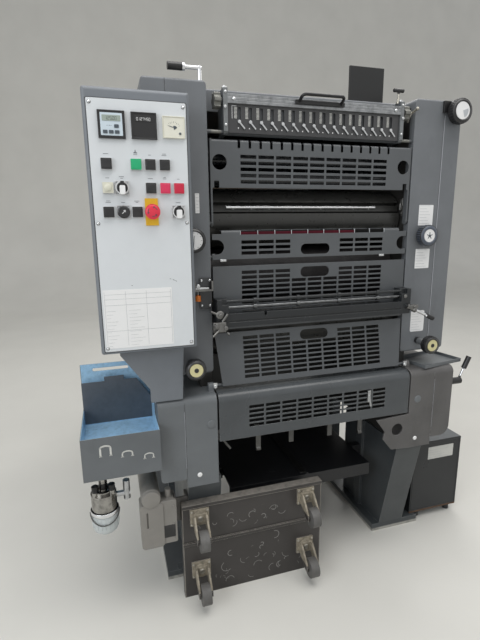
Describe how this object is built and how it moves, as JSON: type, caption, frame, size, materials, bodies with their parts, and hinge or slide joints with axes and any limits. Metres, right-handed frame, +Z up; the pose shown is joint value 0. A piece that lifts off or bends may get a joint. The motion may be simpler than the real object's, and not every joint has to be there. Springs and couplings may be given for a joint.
{
  "type": "offset printing press",
  "caption": "Small sheet-fed offset printing press with louvred guards, ink fountain, control console, tool tray and pile trolley.",
  "frame": {"origin": "middle of the footprint of the whole machine, on the floor", "axes": "X across the machine to the right as seen from the delivery end, Y from the delivery back to the feeder, Z up"},
  "size_m": [1.426, 1.741, 1.66],
  "materials": {
    "black_paint": "satin",
    "blanket_rubber": "matte",
    "board_wood": "worn",
    "bowl_glass": "clear",
    "bright_steel": "brushed",
    "cabinet_paint": "satin",
    "caster_rubber": "matte",
    "console_paint": "matte",
    "control_plastic": "gloss",
    "cylinder_steel": "ground",
    "dark_grey_paint": "satin",
    "dial_plastic": "gloss",
    "grey_blue_paint": "satin",
    "guard_paint": "satin",
    "lever_chrome": "polished",
    "pump_metal": "rough",
    "red_plastic": "gloss",
    "roller_rubber": "matte",
    "tray_paint": "satin",
    "trolley_steel": "worn",
    "white_panel": "satin"
  },
  "bodies": {
    "press": {"base_feet": "grey_blue_paint", "side_frames": "dark_grey_paint", "cross_members": "black_paint", "tower_left": "dark_grey_paint", "tower_right": "dark_grey_paint", "top_cover": "dark_grey_paint", "upright_plate": "black_paint", "rear_cover": "dark_grey_paint", "cheek_left": "grey_blue_paint", "cheek_right": "grey_blue_paint", "sheet_stops": "bright_steel", "ink_rollers": "roller_rubber", "console_box": "console_paint", "console_panel": "white_panel", "console_controls": "control_plastic", "tool_tray": "tray_paint", "filter_bowl": "bowl_glass", "pump_unit": "pump_metal", "control_cabinet": "cabinet_paint", "loose_tray": "tray_paint", "register_bracket": "bright_steel", "pile_trolley": "trolley_steel", "feeder_frames": "grey_blue_paint", "feed_board": "board_wood", "feeder_head": "pump_metal", "feeder_pile_board": "board_wood"},
    "lower_guard": {"lower_guard": "guard_paint"},
    "blanket_guard": {"blanket_guard": "guard_paint", "imprint_bar": "guard_paint"},
    "plate_guard": {"plate_guard": "guard_paint"},
    "upper_guard": {"upper_guard": "guard_paint"},
    "ink_fountain": {"ink_fountain": "guard_paint", "key_plate": "guard_paint", "ink_keys": "bright_steel"},
    "delivery_hood": {"delivery_hood": "grey_blue_paint"},
    "plate_cylinder": {"plate_cylinder": "cylinder_steel"},
    "blanket_cylinder": {"blanket_cylinder": "blanket_rubber"},
    "impression_cylinder": {"impression_cylinder": "cylinder_steel"},
    "emergency_stop": {"emergency_stop": "red_plastic"},
    "selector_upper": {"selector_upper": "control_plastic"},
    "selector_lower": {"selector_lower": "control_plastic"},
    "dial_top_right": {"dial_top_right": "dial_plastic"},
    "dial_mid_right": {"dial_mid_right": "dial_plastic"},
    "dial_mid_left": {"dial_mid_left": "dial_plastic"},
    "hand_knob_right": {"hand_knob_right": "dial_plastic"},
    "hand_knob_left": {"hand_knob_left": "dial_plastic"},
    "top_lever": {"top_lever": "lever_chrome"},
    "side_lever": {"side_lever": "lever_chrome"},
    "delivery_table": {"delivery_table": "black_paint"},
    "caster_wheel_1": {"caster_wheel_1": "caster_rubber"},
    "caster_wheel_2": {"caster_wheel_2": "caster_rubber"},
    "caster_wheel_3": {"caster_wheel_3": "caster_rubber"},
    "caster_wheel_4": {"caster_wheel_4": "caster_rubber"}
  },
  "joints": [
    {"name": "lower_guard_hinge", "type": "hinge", "parent": "press", "child": "lower_guard", "pos_m": [0.013, -0.74549, 0.704], "axis": [1, 0, 0], "range_deg": [0, 40]},
    {"name": "blanket_guard_hinge", "type": "hinge", "parent": "press", "child": "blanket_guard", "pos_m": [0.013, -0.71949, 0.88], "axis": [1, 0, 0], "range_deg": [0, 22]},
    {"name": "plate_guard_hinge", "type": "hinge", "parent": "press", "child": "plate_guard", "pos_m": [0.013, -0.71949, 1.09], "axis": [1, 0, 0], "range_deg": [0, 70]},
    {"name": "upper_guard_hinge", "type": "hinge", "parent": "press", "child": "upper_guard", "pos_m": [0.013, -0.71949, 1.186], "axis": [1, 0, 0], "range_deg": [0, 75]},
    {"name": "ink_fountain_hinge", "type": "hinge", "parent": "press", "child": "ink_fountain", "pos_m": [0.013, -0.71949, 1.434], "axis": [1, 0, 0], "range_deg": [0, 35]},
    {"name": "delivery_hood_hinge", "type": "hinge", "parent": "press", "child": "delivery_hood", "pos_m": [0.013, -0.75949, 0.679], "axis": [-1, 0, 0], "range_deg": [0, 25]},
    {"name": "plate_cylinder_spin", "type": "hinge", "parent": "press", "child": "plate_cylinder", "pos_m": [0.013, -0.60149, 1.2], "axis": [1, 0, 0], "continuous": true},
    {"name": "blanket_cylinder_spin", "type": "hinge", "parent": "press", "child": "blanket_cylinder", "pos_m": [0.013, -0.57749, 1.02514], "axis": [1, 0, 0], "continuous": true},
    {"name": "impression_cylinder_spin", "type": "hinge", "parent": "press", "child": "impression_cylinder", "pos_m": [0.013, -0.60149, 0.85028], "axis": [1, 0, 0], "continuous": true},
    {"name": "dial_top_right_turn", "type": "hinge", "parent": "press", "child": "dial_top_right", "pos_m": [0.493, -0.72949, 1.523], "axis": [0, -1, 0], "continuous": true},
    {"name": "dial_mid_right_turn", "type": "hinge", "parent": "press", "child": "dial_mid_right", "pos_m": [0.407, -0.72949, 1.139], "axis": [0, -1, 0], "continuous": true},
    {"name": "dial_mid_left_turn", "type": "hinge", "parent": "press", "child": "dial_mid_left", "pos_m": [-0.374, -0.72949, 1.139], "axis": [0, -1, 0], "continuous": true},
    {"name": "hand_knob_right_turn", "type": "hinge", "parent": "press", "child": "hand_knob_right", "pos_m": [0.414, -0.72949, 0.778], "axis": [0, -1, 0], "continuous": true},
    {"name": "hand_knob_left_turn", "type": "hinge", "parent": "press", "child": "hand_knob_left", "pos_m": [-0.388, -0.72949, 0.778], "axis": [0, -1, 0], "continuous": true},
    {"name": "top_lever_turn", "type": "hinge", "parent": "press", "child": "top_lever", "pos_m": [-0.335, -0.71749, 1.56], "axis": [0, 0, 1], "range_deg": [-60, 0]},
    {"name": "side_lever_turn", "type": "hinge", "parent": "press", "child": "side_lever", "pos_m": [0.527, -0.76949, 0.624], "axis": [1, 0, 0], "range_deg": [-25, 25]},
    {"name": "emergency_stop_push", "type": "slide", "parent": "press", "child": "emergency_stop", "axis": [0, 1, 0], "range_m": [0, 0.003]},
    {"name": "selector_upper_turn", "type": "hinge", "parent": "press", "child": "selector_upper", "pos_m": [-0.56, -0.83249, 1.271], "axis": [0, -1, 0], "range_deg": [-45, 45]},
    {"name": "selector_lower_turn", "type": "hinge", "parent": "press", "child": "selector_lower", "pos_m": [-0.425, -0.83249, 1.214], "axis": [0, -1, 0], "range_deg": [-45, 45]},
    {"name": "delivery_table_lift", "type": "slide", "parent": "press", "child": "delivery_table", "axis": [0, 0, 1], "range_m": [-0.16, 0.08]},
    {"name": "caster_wheel_1_spin", "type": "hinge", "parent": "press", "child": "caster_wheel_1", "pos_m": [-0.389, -0.83951, 0.059], "axis": [1, 0, 0], "continuous": true},
    {"name": "caster_wheel_2_spin", "type": "hinge", "parent": "press", "child": "caster_wheel_2", "pos_m": [-0.026, -0.83951, 0.059], "axis": [1, 0, 0], "continuous": true},
    {"name": "caster_wheel_3_spin", "type": "hinge", "parent": "press", "child": "caster_wheel_3", "pos_m": [-0.389, -0.83951, 0.248], "axis": [1, 0, 0], "continuous": true},
    {"name": "caster_wheel_4_spin", "type": "hinge", "parent": "press", "child": "caster_wheel_4", "pos_m": [-0.026, -0.83951, 0.248], "axis": [1, 0, 0], "continuous": true}
  ],
  "couplings": [
    {"joint": "blanket_cylinder_spin", "follows": "plate_cylinder_spin", "ratio": -1},
    {"joint": "impression_cylinder_spin", "follows": "plate_cylinder_spin", "ratio": 1}
  ]
}
